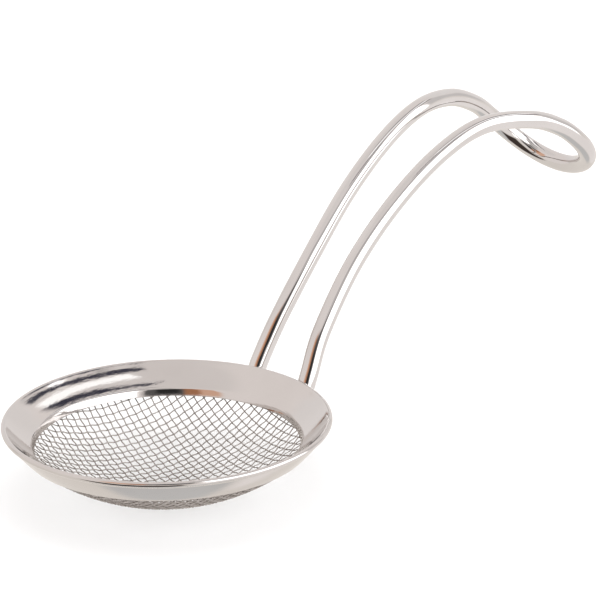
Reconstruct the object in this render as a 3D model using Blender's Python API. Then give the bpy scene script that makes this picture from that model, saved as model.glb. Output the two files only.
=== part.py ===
"""Tea strainer: a pressed steel rim, a woven wire bowl and a bent wire handle.

The bowl stands on the flat spot at its bottom, which is the origin. +Z points
up out of the bowl and +X points from the bowl to the handle's hook.
All sizes are in metres.
"""
import math

import bmesh
import bpy
from mathutils import Matrix, Vector

MM = 0.001

# Rim: folded sheet steel. A sloping flange with a short collar inside, a rolled bead outside,
# and a skirt that runs back under the flange to the cloth's edge.
RIM_RADIUS = 35.0 * MM
BEAD_RADIUS = 0.6 * MM
SHEET = 0.45 * MM
BEND_RADIUS = 28.6 * MM
BEND_DROP = 3.73 * MM
COLLAR_RADIUS = 28.05 * MM
COLLAR_DROP = 5.3 * MM
SKIRT_RADIUS = 30.2 * MM
SKIRT_DROP = 5.4 * MM
HOLLOW_RADIUS = 33.6 * MM
BEAD_START = math.radians(125.0)
BEAD_END = math.radians(-95.0)
BEAD_STEPS = 8
RIM_STEPS = 72
ROUND_ANGLE = math.radians(35.0)

# Bowl: two crossing layers of wire on concentric spheres, each bound by an edge ring.
BOWL_EDGE_RADIUS = 29.0 * MM
BOWL_EDGE_DROP = 5.71 * MM
BOWL_SAG = 10.05 * MM
REST_RADIUS = 4.2 * MM
WIRE_SIDE = 0.30 * MM
WIRE_PITCH = 1.57 * MM
WIRES_EACH_SIDE = 18
WIRE_SPAN = 5.5 * MM
LEAST_SPANS = 3
LAYER_OFFSET = 0.23 * MM
EDGE_RING_WIDTH = 0.5 * MM
EDGE_RING_THICKNESS = 0.36 * MM
EDGE_RING_REACH = 0.25 * MM
EDGE_RING_STEPS = 72
WARP_ANGLE = math.radians(-18.0)
WEFT_ANGLE = math.radians(72.0)

# Handle: one round rod, both ends under the rim, bent into a closed hook.
ROD_RADIUS = 2.0 * MM
ROD_BEVEL_RESOLUTION = 4
ROUTE_SAMPLES = 4
# Half of the rod's centre line as (out, side, height above the rim), foot to hook end, in millimetres.
HALF_ROUTE_MM = (
    (35.8, 7.1, -2.0),
    (37.5, 7.0, 1.2),
    (42.7, 6.2, 9.1),
    (53.7, 5.8, 20.9),
    (66.3, 6.6, 31.1),
    (80.1, 7.7, 38.6),
    (93.0, 9.1, 41.9),
    (105.9, 11.6, 40.1),
    (114.9, 12.3, 36.0),
    (121.0, 12.6, 31.1),
    (125.1, 11.4, 26.8),
    (127.8, 8.4, 23.4),
    (129.3, 4.4, 21.3),
    (129.8, 0.0, 20.6),
)

# Welds: a nugget under the rim's edge beside each leg, cut back from the rim and the rod.
WELD_RADIUS = 1.5 * MM
WELD_CENTRE_OUT = 33.9 * MM
WELD_DROP = 2.0 * MM
WELD_GAP = 0.15 * MM
WELD_STEPS = 16
WELD_RINGS = 10
FOOT_STUB = 18.0 * MM
FOOT_STEPS = 32

# Colours and finish of the bare stainless steel.
RIM_COLOUR = (0.72, 0.70, 0.69, 1.0)
RIM_ROUGHNESS = 0.18
MESH_COLOUR = (0.60, 0.58, 0.56, 1.0)
MESH_ROUGHNESS = 0.35
ROD_COLOUR = (0.74, 0.73, 0.72, 1.0)
ROD_ROUGHNESS = 0.12
WELD_COLOUR = (0.55, 0.53, 0.51, 1.0)
WELD_ROUGHNESS = 0.4


def sphere_radius():
    """Radius of the bowl's middle surface, from its edge radius and its sag."""
    return (BOWL_EDGE_RADIUS ** 2 + BOWL_SAG ** 2) / (2 * BOWL_SAG)


def rest_lift():
    """Height of the bowl's flat spot over the lowest point of the lower layer's sphere."""
    outer = sphere_radius() + LAYER_OFFSET
    return outer - math.sqrt(outer ** 2 - REST_RADIUS ** 2)


# The sphere's centre stands this high over the flat spot, and the rim's plane follows from it.
CENTRE_HEIGHT = sphere_radius() + LAYER_OFFSET + WIRE_SIDE / 2 - rest_lift()
RIM_HEIGHT = CENTRE_HEIGHT - sphere_radius() + BOWL_SAG + BOWL_EDGE_DROP


def clear_scene():
    for old in list(bpy.data.objects):
        bpy.data.objects.remove(old, do_unlink=True)


def steel(name, colour, roughness):
    """A bare metal material."""
    material = bpy.data.materials.new(name)
    material.use_nodes = True
    shader = material.node_tree.nodes["Principled BSDF"]
    shader.inputs["Base Color"].default_value = colour
    shader.inputs["Metallic"].default_value = 1.0
    shader.inputs["Roughness"].default_value = roughness
    return material


def add_object(name, data, material=None):
    """Link new geometry to the scene under the node's name."""
    item = bpy.data.objects.new(name, data)
    bpy.context.collection.objects.link(item)
    if material:
        data.materials.append(material)
    return item


def mesh_from(name, build):
    """A mesh made by one function that fills a bmesh."""
    shape = bmesh.new()
    build(shape)
    bmesh.ops.recalc_face_normals(shape, faces=shape.faces)
    mesh = bpy.data.meshes.new(name)
    shape.to_mesh(mesh)
    shape.free()
    return mesh


def hide_guide(item):
    item.hide_render = True
    item.display_type = "WIRE"


def bridge_loops(shape, loops, closed):
    """Quads between equal loops of vertices; closed joins the last loop to the first."""
    pairs = list(zip(loops, loops[1:]))
    if closed:
        pairs.append((loops[-1], loops[0]))
    for first, second in pairs:
        count = len(first)
        for i in range(count):
            j = (i + 1) % count
            shape.faces.new((first[i], first[j], second[j], second[i]))


def turn_profile(shape, profile, steps):
    """Turn a closed profile of (radius, height) points around Z."""
    loops = []
    for k in range(steps):
        angle = 2 * math.pi * k / steps
        across, along = math.cos(angle), math.sin(angle)
        loops.append([shape.verts.new((r * across, r * along, z)) for r, z in profile])
    bridge_loops(shape, loops, closed=True)


def beside(start, end, distance):
    """A line moved to its right by a distance, as its two ends."""
    along = (end - start).normalized()
    aside = Vector((along.y, -along.x)) * distance
    return start + aside, end + aside


def meeting(first, second):
    """The point where two lines in the section plane cross."""
    (a, b), (c, d) = first, second
    along, other = b - a, d - c
    share = (c - a).cross(other) / along.cross(other)
    return a + along * share


def bead_arc(grow=0.0):
    """The bead's round, from the flange over the outside to the skirt."""
    centre = Vector((RIM_RADIUS - BEAD_RADIUS, RIM_HEIGHT))
    turns = [BEAD_START + (BEAD_END - BEAD_START) * k / BEAD_STEPS for k in range(BEAD_STEPS + 1)]
    return [centre + Vector((math.cos(turn), math.sin(turn))) * (BEAD_RADIUS + grow) for turn in turns]


def rim_profile():
    """The folded section: collar, flange, bead and skirt, open below for the cloth's edge."""
    foot = Vector((COLLAR_RADIUS, RIM_HEIGHT - COLLAR_DROP))
    bend = Vector((BEND_RADIUS, RIM_HEIGHT - BEND_DROP))
    hem = Vector((SKIRT_RADIUS, RIM_HEIGHT - SKIRT_DROP))
    bead = bead_arc()
    collar_back = beside(foot, bend, SHEET)
    flange_back = beside(bend, bead[0], SHEET)
    skirt_back = beside(bead[-1], hem, SHEET)
    tip = (Vector((HOLLOW_RADIUS, RIM_HEIGHT)), Vector((HOLLOW_RADIUS, 0)))
    hollow = [skirt_back[1], meeting(skirt_back, tip), meeting(flange_back, tip)]
    collar = [meeting(collar_back, flange_back), Vector((collar_back[0].x, foot.y))]
    return [foot, bend, *bead, hem, *hollow, *collar]


def rim_guide_profile():
    """The filled outer section with a skin of the welds' gap around it."""
    bead = bead_arc(WELD_GAP)
    hem = beside(bead[-1], Vector((SKIRT_RADIUS, RIM_HEIGHT - SKIRT_DROP)), -WELD_GAP)[1]
    return [Vector((BEND_RADIUS, hem.y)), Vector((BEND_RADIUS, bead[0].y)), *bead, hem]


def make_rim():
    mesh = mesh_from("rim_flange", lambda shape: turn_profile(shape, rim_profile(), RIM_STEPS))
    rim = add_object("rim_flange", mesh, steel("rim_steel", RIM_COLOUR, RIM_ROUGHNESS))
    rim.data.shade_smooth()
    rim.data.set_sharp_from_angle(angle=ROUND_ANGLE)


def on_layer(along, aside, angle, radius):
    """A point of a layer over the plan position, and the layer's outward normal there."""
    x = along * math.cos(angle) - aside * math.sin(angle)
    y = along * math.sin(angle) + aside * math.cos(angle)
    reach = math.hypot(x, y)
    if reach <= REST_RADIUS:
        drop = math.sqrt(radius ** 2 - REST_RADIUS ** 2)
        return Vector((x, y, CENTRE_HEIGHT - drop)), Vector((0, 0, -1))
    drop = math.sqrt(radius ** 2 - reach ** 2)
    return Vector((x, y, CENTRE_HEIGHT - drop)), Vector((x, y, -drop)).normalized()


def add_wire(shape, aside, angle, radius, edge):
    """One wire of square section across the bowl, ending inside the edge ring."""
    half_run = math.sqrt(edge ** 2 - aside ** 2)
    spans = max(LEAST_SPANS, 2 * round(half_run / WIRE_SPAN) + 1)
    stations = [half_run * (2 * k / spans - 1) for k in range(spans + 1)]
    run = Vector((math.cos(angle), math.sin(angle), 0))
    half = WIRE_SIDE / 2
    loops = []
    for along in stations:
        point, normal = on_layer(along, aside, angle, radius)
        side = normal.cross(run).normalized() * half
        out = normal * half
        corners = (point + side + out, point - side + out, point - side - out, point + side - out)
        loops.append([shape.verts.new(corner) for corner in corners])
    bridge_loops(shape, loops, closed=False)
    shape.faces.new(loops[0])
    shape.faces.new(loops[-1])


def add_wires(shape, angle, radius, edge):
    for k in range(-WIRES_EACH_SIDE, WIRES_EACH_SIDE + 1):
        add_wire(shape, k * WIRE_PITCH, angle, radius, edge)


def edge_ring_profile(radius):
    """Section of a layer's edge ring: a small parallelogram along the layer's own slope."""
    tilt = math.asin(BOWL_EDGE_RADIUS / sphere_radius())
    along = Vector((math.cos(tilt), math.sin(tilt)))
    out = Vector((math.sin(tilt), -math.cos(tilt)))
    middle = Vector((radius * out.x, CENTRE_HEIGHT + radius * out.y)) + along * EDGE_RING_REACH
    half_along = along * EDGE_RING_WIDTH / 2
    half_out = out * EDGE_RING_THICKNESS / 2
    return [tuple(middle + half_along * a + half_out * b) for a, b in ((-1, -1), (1, -1), (1, 1), (-1, 1))]


def make_layer(name, angle, radius, material):
    """One set of parallel wires joined to its edge ring as a single body."""
    profile = edge_ring_profile(radius)
    edge = sum(point[0] for point in profile) / len(profile)
    ring_mesh = mesh_from(name, lambda shape: turn_profile(shape, profile, EDGE_RING_STEPS))
    layer = add_object(name, ring_mesh, material)
    wire_mesh = mesh_from(name + "_wires", lambda shape: add_wires(shape, angle, radius, edge))
    wires = add_object(name + "_wires", wire_mesh)
    hide_guide(wires)
    join = layer.modifiers.new("join_wires", "BOOLEAN")
    join.operation = "UNION"
    join.solver = "EXACT"
    join.object = wires


def make_bowl():
    material = steel("mesh_steel", MESH_COLOUR, MESH_ROUGHNESS)
    make_layer("mesh_warp", WARP_ANGLE, sphere_radius() + LAYER_OFFSET, material)
    make_layer("mesh_weft", WEFT_ANGLE, sphere_radius() - LAYER_OFFSET, material.copy())


def smooth_route(points, samples):
    """Points along a Catmull-Rom curve through the given points."""
    padded = [points[0] * 2 - points[1]] + points + [points[-1] * 2 - points[-2]]
    route = []
    for before, start, end, after in zip(padded, padded[1:], padded[2:], padded[3:]):
        for k in range(samples):
            t = k / samples
            flat = start * 2 + (end - before) * t
            bent = (before * 2 - start * 5 + end * 4 - after) * t ** 2
            twisted = (start * 3 - before - end * 3 + after) * t ** 3
            route.append((flat + bent + twisted) / 2)
    route.append(points[-1])
    return route


def rod_route():
    """The whole centre line: one leg, round the hook's end, and back down the other leg."""
    half = [Vector((x * MM, y * MM, z * MM + RIM_HEIGHT)) for x, y, z in HALF_ROUTE_MM]
    mirrored = [Vector((p.x, -p.y, p.z)) for p in reversed(half[:-1])]
    return smooth_route(half + mirrored, ROUTE_SAMPLES)


def rod_curve(name):
    """The rod's centre line, swept with its round section."""
    curve = bpy.data.curves.new(name, "CURVE")
    curve.dimensions = "3D"
    curve.bevel_depth = ROD_RADIUS
    curve.bevel_resolution = ROD_BEVEL_RESOLUTION
    curve.use_fill_caps = True
    route = rod_route()
    spline = curve.splines.new("POLY")
    spline.points.add(len(route) - 1)
    for point, place in zip(spline.points, route):
        point.co = (*place, 1.0)
    return curve


def make_handle():
    material = steel("handle_steel", ROD_COLOUR, ROD_ROUGHNESS)
    return add_object("handle_rod", rod_curve("handle_rod"), material)


def add_cut(item, cutter):
    cut = item.modifiers.new("clear_" + cutter.name, "BOOLEAN")
    cut.operation = "DIFFERENCE"
    cut.solver = "EXACT"
    cut.object = cutter


def make_rim_guide():
    """A filled ring that keeps the welds clear of the rim."""
    mesh = mesh_from("rim_guide", lambda shape: turn_profile(shape, rim_guide_profile(), RIM_STEPS))
    guide = add_object("rim_guide", mesh)
    hide_guide(guide)
    return guide


def make_foot_guide(name, foot, above):
    """A straight stub of rod around one foot, with the welds' gap around it."""
    axis = above - foot
    turn = axis.to_track_quat("Z", "Y").to_matrix().to_4x4()
    place = Matrix.Translation((foot + above) / 2) @ turn
    radius = ROD_RADIUS + WELD_GAP
    mesh = mesh_from(name, lambda s: bmesh.ops.create_cone(
        s, cap_ends=True, segments=FOOT_STEPS, radius1=radius, radius2=radius, depth=FOOT_STUB,
        matrix=place))
    guide = add_object(name, mesh)
    hide_guide(guide)
    return guide


def make_welds():
    """A nugget of weld metal on the bowl's side of each foot."""
    rim_guide = make_rim_guide()
    route = rod_route()
    for name, foot, above in (("weld_left", route[0], route[2]), ("weld_right", route[-1], route[-3])):
        bearing = math.atan2(foot.y, foot.x)
        mesh = mesh_from(name, lambda s: bmesh.ops.create_uvsphere(
            s, u_segments=WELD_STEPS, v_segments=WELD_RINGS, radius=WELD_RADIUS))
        weld = add_object(name, mesh, steel(name + "_steel", WELD_COLOUR, WELD_ROUGHNESS))
        weld.location = (WELD_CENTRE_OUT * math.cos(bearing), WELD_CENTRE_OUT * math.sin(bearing),
                         RIM_HEIGHT - WELD_DROP)
        add_cut(weld, rim_guide)
        add_cut(weld, make_foot_guide(name + "_foot_guide", foot, above))


clear_scene()
make_rim()
make_bowl()
make_handle()
make_welds()
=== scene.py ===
"""Looks of the tea strainer: polished rim and rod, really woven wire bowl, studio."""

import math

import bpy
import numpy as np
from mathutils import Matrix, Vector


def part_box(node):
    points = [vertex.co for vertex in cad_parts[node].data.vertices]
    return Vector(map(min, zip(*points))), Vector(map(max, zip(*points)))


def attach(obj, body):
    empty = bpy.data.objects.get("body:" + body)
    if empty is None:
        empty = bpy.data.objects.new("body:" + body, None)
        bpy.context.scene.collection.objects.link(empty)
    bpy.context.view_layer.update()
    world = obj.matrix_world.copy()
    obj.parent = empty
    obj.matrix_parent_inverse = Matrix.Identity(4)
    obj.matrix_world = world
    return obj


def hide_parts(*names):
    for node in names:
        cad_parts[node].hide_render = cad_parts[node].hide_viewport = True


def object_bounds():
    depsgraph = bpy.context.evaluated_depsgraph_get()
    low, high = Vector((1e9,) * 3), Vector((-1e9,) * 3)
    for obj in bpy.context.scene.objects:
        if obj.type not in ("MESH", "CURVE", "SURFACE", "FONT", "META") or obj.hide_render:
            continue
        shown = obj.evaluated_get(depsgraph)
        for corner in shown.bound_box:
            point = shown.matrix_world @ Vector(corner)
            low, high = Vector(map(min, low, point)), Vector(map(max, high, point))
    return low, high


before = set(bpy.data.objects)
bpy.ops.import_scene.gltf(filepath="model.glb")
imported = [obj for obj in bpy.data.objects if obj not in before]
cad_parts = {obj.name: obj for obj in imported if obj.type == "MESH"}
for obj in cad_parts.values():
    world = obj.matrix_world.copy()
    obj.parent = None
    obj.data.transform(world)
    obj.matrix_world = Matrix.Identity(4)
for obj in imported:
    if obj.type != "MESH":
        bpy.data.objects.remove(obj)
cad_low, cad_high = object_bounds()

MM = 0.001

# ---------------------------------------------------------------- sizes
# The rim's radius and height come from the frame. The rod is a little thinner than its CAD solid, to
# stay inside the CAD box. The wires are thinner than the CAD's too, which makes the cloth more open.
BEAD_RADIUS = 0.6 * MM
rim_low, rim_high = (np.array(corner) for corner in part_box("rim_flange"))
RIM_RADIUS = (rim_high[1] - rim_low[1]) / 2
RIM_HEIGHT = rim_high[2] - BEAD_RADIUS
ROD_RADIUS = 1.96 * MM
BEND_RADIUS, BEND_DROP = 28.6 * MM, 3.73 * MM
COLLAR_RADIUS, COLLAR_DROP = 28.05 * MM, 5.3 * MM
SKIRT_RADIUS, SKIRT_DROP = 30.2 * MM, 5.4 * MM
HOLLOW_RADIUS = 33.6 * MM
SHEET = 0.45 * MM
FLANGE_DISH = 0.26 * MM
SKIRT_BULGE = 0.12 * MM
BOWL_EDGE_RADIUS, BOWL_EDGE_DROP = 29.0 * MM, 5.71 * MM
BOWL_SAG = 10.05 * MM
CLOTH_EDGE = 29.45 * MM
LOWEST_WIRE = 2.2    # wire radii from the object's lowest point up to the cloth's middle surface
WIRE_RADIUS = 0.135 * MM
WIRE_PITCH = 1.57 * MM
WIRES_EACH_SIDE = 18
WARP_ANGLE, WEFT_ANGLE = math.radians(-18.0), math.radians(72.0)
# Centre line of one leg and half of the loop, from the rim's plane; the other half mirrors it.
HALF_ROUTE_MM = (
    (35.8, 7.1, -2.0),
    (37.5, 7.0, 1.2),
    (42.7, 6.2, 9.1),
    (53.7, 5.8, 20.9),
    (66.3, 6.6, 31.1),
    (80.1, 7.7, 38.6),
    (93.0, 9.1, 41.9),
    (105.9, 11.6, 40.1),
    (114.9, 12.3, 36.0),
    (121.0, 12.6, 31.1),
    (125.1, 11.4, 26.8),
    (127.8, 8.4, 23.4),
    (129.3, 4.4, 21.3),
    (129.8, 0.0, 20.6),
)

# ---------------------------------------------------------------- fineness of the visual meshes
RIM_STEPS, BEAD_STEPS, FLANGE_STEPS, SKIRT_STEPS = 288, 26, 15, 11
WIRE_SAMPLES, WIRE_SIDES = 5, 8
ROD_SAMPLES, ROD_SIDES = 12, 40
BEAD_START, BEAD_END = 136, -95
SHARP_EDGE = 60


# ---------------------------------------------------------------- mesh helpers
def mesh_object(name, verts, faces, material, slot, replaces=None, sharp=None):
    mesh = bpy.data.meshes.new(name)
    mesh.from_pydata([tuple(v) for v in verts], [], [tuple(f) for f in faces])
    mesh.validate()
    mesh.update()
    mesh.shade_smooth()
    if sharp:
        mesh.set_sharp_from_angle(angle=math.radians(sharp))
    piece = bpy.data.objects.new(name, mesh)
    bpy.context.collection.objects.link(piece)
    mesh.materials.append(material)
    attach(piece, "root")
    if replaces:
        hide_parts(replaces)
    return piece


def turned(profile, steps):
    """Vertices and quads of a closed profile of (radius, height) turned around Z."""
    profile = np.array(profile)
    angles = 2 * math.pi * np.arange(steps) / steps
    verts = np.stack([
        np.outer(np.cos(angles), profile[:, 0]),
        np.outer(np.sin(angles), profile[:, 0]),
        np.tile(profile[:, 1], (steps, 1)),
    ], axis=2).reshape(-1, 3)
    count = len(profile)
    faces = []
    for k in range(steps):
        here, there = k * count, ((k + 1) % steps) * count
        for i in range(count):
            j = (i + 1) % count
            faces.append((here + i, here + j, there + j, there + i))
    return verts, faces


def tube(path, radius, sides, normals=None):
    """Vertices and faces of a round tube along a path; radius is one number or one per point."""
    path = np.asarray(path)
    radius = np.broadcast_to(radius, len(path))
    tangent = np.gradient(path, axis=0)
    tangent /= np.linalg.norm(tangent, axis=1)[:, None]
    if normals is None:
        normal = np.cross(tangent[0], (0.0, 0.0, 1.0))
        normals = np.empty_like(path)
        for k, along in enumerate(tangent):
            normal = normal - along * normal.dot(along)
            normal /= np.linalg.norm(normal)
            normals[k] = normal
    binormals = np.cross(tangent, normals)
    turns = 2 * math.pi * np.arange(sides) / sides
    across = np.cos(turns)[None, :, None] * normals[:, None]
    aside = np.sin(turns)[None, :, None] * binormals[:, None]
    ring = across + aside
    verts = (path[:, None] + ring * radius[:, None, None]).reshape(-1, 3)
    faces = []
    for k in range(len(path) - 1):
        here, there = k * sides, (k + 1) * sides
        for i in range(sides):
            j = (i + 1) % sides
            faces.append((here + i, here + j, there + j, there + i))
    faces.append(tuple(range(sides))[::-1])
    faces.append(tuple(range(len(verts) - sides, len(verts))))
    return verts, faces


def rounded(points, radii, steps=6):
    """A closed outline with each corner replaced by a small arc-like curve of the given reach."""
    out = []
    points = [np.array(p, float) for p in points]
    for k, (corner, reach) in enumerate(zip(points, radii)):
        before, after = points[k - 1], points[(k + 1) % len(points)]
        if reach == 0:
            out.append(corner)
            continue
        start = corner + (before - corner) / np.linalg.norm(before - corner) * reach
        end = corner + (after - corner) / np.linalg.norm(after - corner) * reach
        for t in np.linspace(0, 1, steps):
            out.append(start * (1 - t) ** 2 + corner * 2 * t * (1 - t) + end * t ** 2)
    return out


# ---------------------------------------------------------------- materials
TONE_SCALE, POLISH_SCALE = 60.0, 260.0
GRAIN_DEPTH = 0.0001
ROUND_STRETCH = 0.011
NOISE_LOW, NOISE_HIGH = 0.3, 0.7


def nodes_of(name, metallic, colour):
    material = bpy.data.materials.new(name)
    material.use_nodes = True
    tree = material.node_tree
    shader = tree.nodes["Principled BSDF"]
    shader.inputs["Metallic"].default_value = metallic
    shader.inputs["Base Color"].default_value = colour
    return material, tree, shader


def add(tree, kind, **values):
    """A new node with the given settings."""
    node = tree.nodes.new(kind)
    for key, value in values.items():
        setattr(node, key, value)
    return node


def noise(tree, coords, scale, detail=3.0, rough=0.55):
    node = add(tree, "ShaderNodeTexNoise")
    node.inputs["Scale"].default_value = scale
    node.inputs["Detail"].default_value = detail
    node.inputs["Roughness"].default_value = rough
    tree.links.new(coords, node.inputs["Vector"])
    return node.outputs["Fac"]


def ramp_to(tree, fac, low, high, target):
    """Map a 0..1 value to a range and feed it to a socket."""
    spread = add(tree, "ShaderNodeMapRange")
    spread.inputs["To Min"].default_value = low
    spread.inputs["To Max"].default_value = high
    spread.inputs["From Min"].default_value = NOISE_LOW
    spread.inputs["From Max"].default_value = NOISE_HIGH
    tree.links.new(fac, spread.inputs["Value"])
    tree.links.new(spread.outputs["Result"], target)


def colour_between(tree, fac, first, second, target):
    ramp = add(tree, "ShaderNodeValToRGB")
    ramp.color_ramp.elements[0].position = NOISE_LOW
    ramp.color_ramp.elements[0].color = first
    ramp.color_ramp.elements[1].position = NOISE_HIGH
    ramp.color_ramp.elements[1].color = second
    tree.links.new(fac, ramp.inputs["Fac"])
    tree.links.new(ramp.outputs["Color"], target)


def bump_from(tree, height, strength, distance, under=None, shader=None):
    """A bump over an earlier one, fed to the shader when one is given."""
    bump = add(tree, "ShaderNodeBump")
    bump.inputs["Strength"].default_value = strength
    bump.inputs["Distance"].default_value = distance
    tree.links.new(height, bump.inputs["Height"])
    if under:
        tree.links.new(under, bump.inputs["Normal"])
    if shader:
        tree.links.new(bump.outputs["Normal"], shader.inputs["Normal"])
    return bump.outputs["Normal"]


def maths(tree, operation, first, second=None, third=None):
    """A Math node; each value is a number or a socket."""
    node = add(tree, "ShaderNodeMath", operation=operation)
    for socket, value in zip(node.inputs, (first, second, third)):
        if isinstance(value, bpy.types.NodeSocket):
            tree.links.new(value, socket)
        elif value is not None:
            socket.default_value = value
    return node.outputs[0]


def polished_steel(name, light, dark, smooth, dull, grain_scale, grain, ripple_scale=0.0, ripple=0.0):
    """Bare steel: cloudy tone, uneven polish, fine grain and, on pressed sheet, a slow ripple."""
    material, tree, shader = nodes_of(name, 1.0, light)
    coords = add(tree, "ShaderNodeTexCoord").outputs["Object"]
    colour_between(tree, noise(tree, coords, TONE_SCALE), dark, light, shader.inputs["Base Color"])
    ramp_to(tree, noise(tree, coords, POLISH_SCALE, 5.0), smooth, dull, shader.inputs["Roughness"])
    height = noise(tree, coords, grain_scale, 6.0, 0.7)
    if ripple:
        slow = bump_from(tree, noise(tree, around(tree, coords), ripple_scale, 4.0, 0.6), 1.0, ripple)
        bump_from(tree, height, grain, GRAIN_DEPTH, slow, shader)
    else:
        bump_from(tree, height, grain, GRAIN_DEPTH, None, shader)
    return material


def around(tree, coords):
    """Coordinates along the turn and across it, so that marks run round the piece."""
    parts = add(tree, "ShaderNodeSeparateXYZ")
    tree.links.new(coords, parts.inputs[0])
    turn = maths(tree, "ARCTAN2", parts.outputs["Y"], parts.outputs["X"])
    flat = maths(tree, "SQRT", maths(tree, "ADD", maths(tree, "POWER", parts.outputs["X"], 2.0),
                                     maths(tree, "POWER", parts.outputs["Y"], 2.0)))
    joined = add(tree, "ShaderNodeCombineXYZ")
    tree.links.new(maths(tree, "MULTIPLY", turn, ROUND_STRETCH), joined.inputs["X"])
    tree.links.new(flat, joined.inputs["Y"])
    tree.links.new(parts.outputs["Z"], joined.inputs["Z"])
    return joined.outputs[0]


rim_steel = polished_steel("rim_polished_steel", (0.70, 0.675, 0.66, 1), (0.66, 0.635, 0.62, 1),
                           0.05, 0.10, 1500.0, 0.02, 420.0, 0.00003)
rod_steel = polished_steel("rod_mirror_steel", (0.74, 0.725, 0.715, 1), (0.69, 0.67, 0.66, 1),
                           0.04, 0.08, 900.0, 0.03)
wire_steel = polished_steel("drawn_wire_steel", (0.46, 0.43, 0.41, 1), (0.32, 0.29, 0.27, 1),
                            0.22, 0.38, 2500.0, 0.15)
weld_steel = polished_steel("weld_metal", (0.45, 0.42, 0.40, 1), (0.25, 0.22, 0.20, 1),
                            0.25, 0.50, 1800.0, 0.5)


# ---------------------------------------------------------------- rim
def bowed(start, end, bow, steps):
    """Points from start to end, bowed to the right of the line by a distance."""
    along = (end - start) / np.linalg.norm(end - start)
    aside = np.array([along[1], -along[0]])
    return [start + (end - start) * t + aside * bow * 4 * t * (1 - t) for t in np.linspace(0, 1, steps)]


def beside(start, end, distance):
    """A line moved to its right by a distance, as its two ends."""
    along = (end - start) / np.linalg.norm(end - start)
    aside = np.array([along[1], -along[0]]) * distance
    return start + aside, end + aside


def meeting(first, second):
    """The point where two lines in the section plane cross."""
    (p, q), (r, s) = first, second
    along, other, gap = q - p, s - r, r - p
    share = (gap[0] * other[1] - gap[1] * other[0]) / (along[0] * other[1] - along[1] * other[0])
    return p + along * share


def rim_outline():
    """The folded section: collar, dished flange, rolled bead and skirt, open below for the cloth."""
    centre = np.array([RIM_RADIUS - BEAD_RADIUS, RIM_HEIGHT])
    foot = np.array([COLLAR_RADIUS, RIM_HEIGHT - COLLAR_DROP])
    bend = np.array([BEND_RADIUS, RIM_HEIGHT - BEND_DROP])
    hem = np.array([SKIRT_RADIUS, RIM_HEIGHT - SKIRT_DROP])
    bead = [centre + BEAD_RADIUS * np.array([math.cos(a), math.sin(a)])
            for a in np.radians(np.linspace(BEAD_START, BEAD_END, BEAD_STEPS))]
    collar_back = beside(foot, bend, SHEET)
    flange_back = beside(bend, bead[0], SHEET)
    skirt_back = beside(bead[-1], hem, SHEET)
    tip = (np.array([HOLLOW_RADIUS, RIM_HEIGHT]), np.array([HOLLOW_RADIUS, 0.0]))
    flange = bowed(bend, bead[0], FLANGE_DISH, FLANGE_STEPS)[1:-1]
    skirt = bowed(bead[-1], hem, -SKIRT_BULGE, SKIRT_STEPS)[1:-1]
    corners = [
        (foot, 0.15 * MM), (bend, 0.45 * MM), *((p, 0) for p in flange), *((p, 0) for p in bead),
        *((p, 0) for p in skirt), (hem, 0.14 * MM), (skirt_back[1], 0.14 * MM),
        (meeting(skirt_back, tip), 0.1 * MM), (meeting(flange_back, tip), 0.1 * MM),
        (meeting(collar_back, flange_back), 0.3 * MM),
        (np.array([collar_back[0][0], foot[1]]), 0.12 * MM),
    ]
    return rounded([p for p, _ in corners], [reach for _, reach in corners])


mesh_object("rim", *turned(rim_outline(), RIM_STEPS), rim_steel, "rim_steel", "rim_flange", SHARP_EDGE)


# ---------------------------------------------------------------- woven bowl
SPHERE = (BOWL_EDGE_RADIUS ** 2 + BOWL_SAG ** 2) / (2 * BOWL_SAG)
CENTRE_HEIGHT = RIM_HEIGHT - BOWL_EDGE_DROP - BOWL_SAG + SPHERE


def bowl_points(x, y):
    """Points of the bowl's middle surface over plan positions, and its outward normals."""
    drop = np.sqrt(SPHERE ** 2 - x ** 2 - y ** 2)
    lowest = cad_low[2] + LOWEST_WIRE * WIRE_RADIUS
    points = np.stack([x, y, np.maximum(CENTRE_HEIGHT - drop, lowest)], axis=-1)
    return points, np.stack([x, y, -drop], axis=-1) / SPHERE


def woven_wires(angle, first_over):
    """Parallel wires across the bowl, each passing over and under the crossing ones."""
    across, along = math.cos(angle), math.sin(angle)
    verts, faces, total = [], [], 0
    for i in range(-WIRES_EACH_SIDE, WIRES_EACH_SIDE + 1):
        aside = i * WIRE_PITCH
        half = math.sqrt(CLOTH_EDGE ** 2 - aside ** 2)
        count = int(half / WIRE_PITCH * WIRE_SAMPLES)
        run = np.arange(-count, count + 1) * WIRE_PITCH / WIRE_SAMPLES
        points, out = bowl_points(run * across - aside * along, run * along + aside * across)
        sway = first_over * (-1) ** i * WIRE_RADIUS * np.cos(math.pi * run / WIRE_PITCH)
        v, f = tube(points + out * sway[:, None], WIRE_RADIUS, WIRE_SIDES, out)
        verts.append(v)
        faces += [tuple(k + total for k in face) for face in f]
        total += len(v)
    return np.concatenate(verts), faces


mesh_object("warp_wires", *woven_wires(WARP_ANGLE, 1), wire_steel, "mesh_steel", "mesh_warp")
mesh_object("weft_wires", *woven_wires(WEFT_ANGLE, -1), wire_steel, "mesh_steel", "mesh_weft")


# ---------------------------------------------------------------- handle
def smooth_route(points, samples):
    """Points along a Catmull-Rom curve through the given points."""
    padded = [points[0] * 2 - points[1]] + points + [points[-1] * 2 - points[-2]]
    route = []
    for before, start, end, after in zip(padded, padded[1:], padded[2:], padded[3:]):
        for k in range(samples):
            t = k / samples
            flat = start * 2 + (end - before) * t
            bent = (before * 2 - start * 5 + end * 4 - after) * t ** 2
            twisted = (start * 3 - before - end * 3 + after) * t ** 3
            route.append((flat + bent + twisted) / 2)
    route.append(points[-1])
    return np.array(route)


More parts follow.
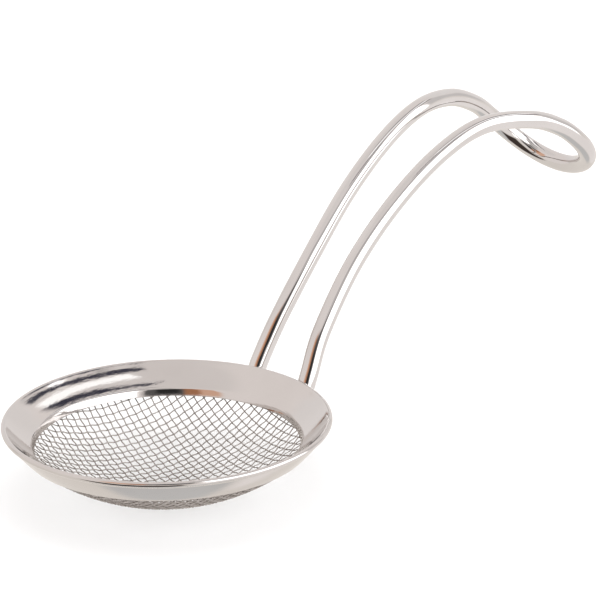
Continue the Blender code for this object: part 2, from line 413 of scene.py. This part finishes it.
half_route = [np.array((x * MM, y * MM, z * MM + RIM_HEIGHT)) for x, y, z in HALF_ROUTE_MM]
route = smooth_route(half_route + [p * (1, -1, 1) for p in reversed(half_route[:-1])], ROD_SAMPLES)
mesh_object("rod", *tube(route, ROD_RADIUS, ROD_SIDES), rod_steel, "handle_steel", "handle_rod", SHARP_EDGE)

for node in ("weld_left", "weld_right"):
    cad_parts[node].material_slots[0].material = weld_steel


# ---------------------------------------------------------------- studio
FLOOR_REACH = 3.0
FLOOR_GAP = 0.2 * MM
BAND_SIDE_SOFT, BAND_EDGE_SOFT = 6, 0.006
BASE_SKY = (0.93, 0.87, 0.845, 1)
DIFFUSE_LIGHT = (1.35, 1.35, 1.35)
WHITE_PAPER = (1.0, 1.0, 1.0)


def make_floor():
    mesh = bpy.data.meshes.new("floor")
    reach = FLOOR_REACH
    corners = [(-reach, -reach, 0), (reach, -reach, 0), (reach, reach, 0), (-reach, reach, 0)]
    mesh.from_pydata(corners, [], [(0, 1, 2, 3)])
    floor = bpy.data.objects.new("floor", mesh)
    bpy.context.collection.objects.link(floor)
    floor.location.z = cad_low[2] - FLOOR_GAP
    floor.visible_glossy = False
    material, tree, shader = nodes_of("floor_paper", 0.0, (0.97, 0.97, 0.97, 1))
    shader.inputs["Roughness"].default_value = 0.9
    mesh.materials.append(material)


# Lights and dark things of the studio, with a painted shadow of the strainer on the floor below it. Angles
# are in degrees: first bearing, right of the camera, then height; each pair is followed by the softness of
# its edges.
CARDS = (
    ("ground", (-130, 250), 1, (-95, -1), 4, (0.87, 0.82, 0.77)),
    ("ceiling", (-130, 250), 1, (62, 95), 5, (0.86, 0.81, 0.79)),
    ("grey_wall", (-10, 75), 5, (47, 60), 3, (0.55, 0.53, 0.52)),
    ("brown_far", (-48, -26), 4, (10, 46), 3, (0.80, 0.50, 0.36)),
    ("brown_near", (-30, -13), 3, (10, 46), 3, (0.46, 0.21, 0.11)),
    ("dark_room", (-16, 19), 3, (10, 44), 3, (0.12, 0.115, 0.115)),
    ("photographer", (-12, 8), 3, (14, 36), 3, (0.03, 0.03, 0.03)),
    ("softbox", (25, 108), 3, (-8, 45), 3, (2.40, 2.40, 2.42)),
    ("stand", (110, 132), 3, (0, 26), 3, (0.72, 0.69, 0.68)),
    ("back_panel", (134, 224), 5, (-4, 30), 5, (0.92, 0.88, 0.865)),
    ("back_edge", (227, 242), 3, (-4, 22), 3, (0.75, 0.70, 0.67)),
    # under: the floor straight below as the steel mirrors it, darkened into a painted shadow of the
    # strainer; the floor itself is hidden from reflections
    ("under", (-130, 250), 1, (-95, -66), 4, (0.66, 0.655, 0.65)),
    # low_front_dark: a dark patch low in front of the strainer, which the bead's underside mirrors as the
    # dark line under the bead
    ("low_front_dark", (-62, 12), 5, (-68, -12), 4, (0.06, 0.045, 0.04)),
    ("low_softbox", (19, 150), 5, (-64, -6), 5, (1.00, 0.95, 0.93)),
)
# Bands that run round an axis: axis, lowest and highest cosine to it, bearings, colour.
BANDS = (
    ("lit_gap", (-0.5221, -0.0918, 0.8479), (0.70, 0.77), (60, 133), (1.5, 1.5, 1.5)),
    ("high_bar", (-0.5221, -0.0918, 0.8479), (0.612, 0.668), (30, 131), (0.05, 0.05, 0.075)),
    ("low_bar", (-0.6252, -0.1180, 0.7715), (0.752, 0.812), (112, 137), (0.05, 0.05, 0.075)),
)
CAMERA_BEARING = math.radians(136.66)


def edge_mask(tree, value, low, high, soft):
    """One between low and high, with smooth edges, and zero outside."""
    masks = []
    for start, end in ((low - soft / 2, low + soft / 2), (high + soft / 2, high - soft / 2)):
        node = add(tree, "ShaderNodeMapRange", interpolation_type="SMOOTHSTEP")
        node.inputs["From Min"].default_value = start
        node.inputs["From Max"].default_value = end
        tree.links.new(value, node.inputs["Value"])
        masks.append(node.outputs["Result"])
    return maths(tree, "MULTIPLY", *masks)


def lay_over(tree, mask, under, colour):
    mix = add(tree, "ShaderNodeMix", data_type="RGBA")
    tree.links.new(mask, mix.inputs["Factor"])
    tree.links.new(under, mix.inputs[6])
    mix.inputs[7].default_value = (*colour, 1)
    return mix.outputs[2]


def make_world():
    """The studio as the polished steel mirrors it, with a painted shadow of the strainer on the floor below;
    the camera and soft light see plain white.
    """
    world = bpy.data.worlds.new("studio")
    world.use_nodes = True
    bpy.context.scene.world = world
    tree = world.node_tree
    turn = add(tree, "ShaderNodeVectorRotate", rotation_type="Z_AXIS")
    turn.inputs["Angle"].default_value = CAMERA_BEARING
    tree.links.new(add(tree, "ShaderNodeTexCoord").outputs["Generated"], turn.inputs["Vector"])
    parts = add(tree, "ShaderNodeSeparateXYZ")
    tree.links.new(turn.outputs[0], parts.inputs[0])
    bearing = maths(tree, "ARCTAN2", parts.outputs["Y"], parts.outputs["X"])
    bearing = maths(tree, "MULTIPLY", maths(tree, "WRAP", bearing, math.radians(240), math.radians(-120)),
                    math.degrees(1))
    height = maths(tree, "MULTIPLY", maths(tree, "ARCSINE", parts.outputs["Z"]), math.degrees(1))
    base = add(tree, "ShaderNodeRGB")
    base.outputs[0].default_value = BASE_SKY
    colour = base.outputs[0]
    for _, bearings, side_soft, heights, top_soft, shade in CARDS:
        side = edge_mask(tree, bearing, *bearings, side_soft * 2)
        mask = maths(tree, "MULTIPLY", side, edge_mask(tree, height, *heights, top_soft * 2))
        colour = lay_over(tree, mask, colour, shade)
    for _, axis, cosines, bearings, shade in BANDS:
        dot = add(tree, "ShaderNodeVectorMath", operation="DOT_PRODUCT")
        tree.links.new(turn.outputs[0], dot.inputs[0])
        dot.inputs[1].default_value = axis
        side = edge_mask(tree, bearing, *bearings, BAND_SIDE_SOFT)
        mask = maths(tree, "MULTIPLY", side, edge_mask(tree, dot.outputs["Value"], *cosines, BAND_EDGE_SOFT))
        colour = lay_over(tree, mask, colour, shade)
    path = add(tree, "ShaderNodeLightPath")
    colour = lay_over(tree, path.outputs["Is Diffuse Ray"], colour, DIFFUSE_LIGHT)
    colour = lay_over(tree, path.outputs["Is Camera Ray"], colour, WHITE_PAPER)
    background = tree.nodes["Background"]
    tree.links.new(colour, background.inputs["Color"])
    background.inputs["Strength"].default_value = 1.0


CAMERA_PLACE = Vector((-1.13714, -1.07326, 0.64985))
CAMERA_AIM = Vector((0.02627, -0.01474, 0.03935))
CAMERA_ROLL = math.radians(-1.5025)
CAMERA_LENS = 481.6


def make_camera():
    data = bpy.data.cameras.new("camera")
    data.lens = CAMERA_LENS
    data.sensor_width = 36.0
    data.clip_start = 0.05
    camera = bpy.data.objects.new("camera", data)
    bpy.context.collection.objects.link(camera)
    camera.location = CAMERA_PLACE
    aim = (CAMERA_AIM - CAMERA_PLACE).to_track_quat("-Z", "Y")
    camera.rotation_euler = (aim.to_matrix() @ Matrix.Rotation(CAMERA_ROLL, 3, "Z")).to_euler()
    bpy.context.scene.camera = camera


make_floor()
make_world()
make_camera()
bpy.context.scene.view_settings.view_transform = "Standard"
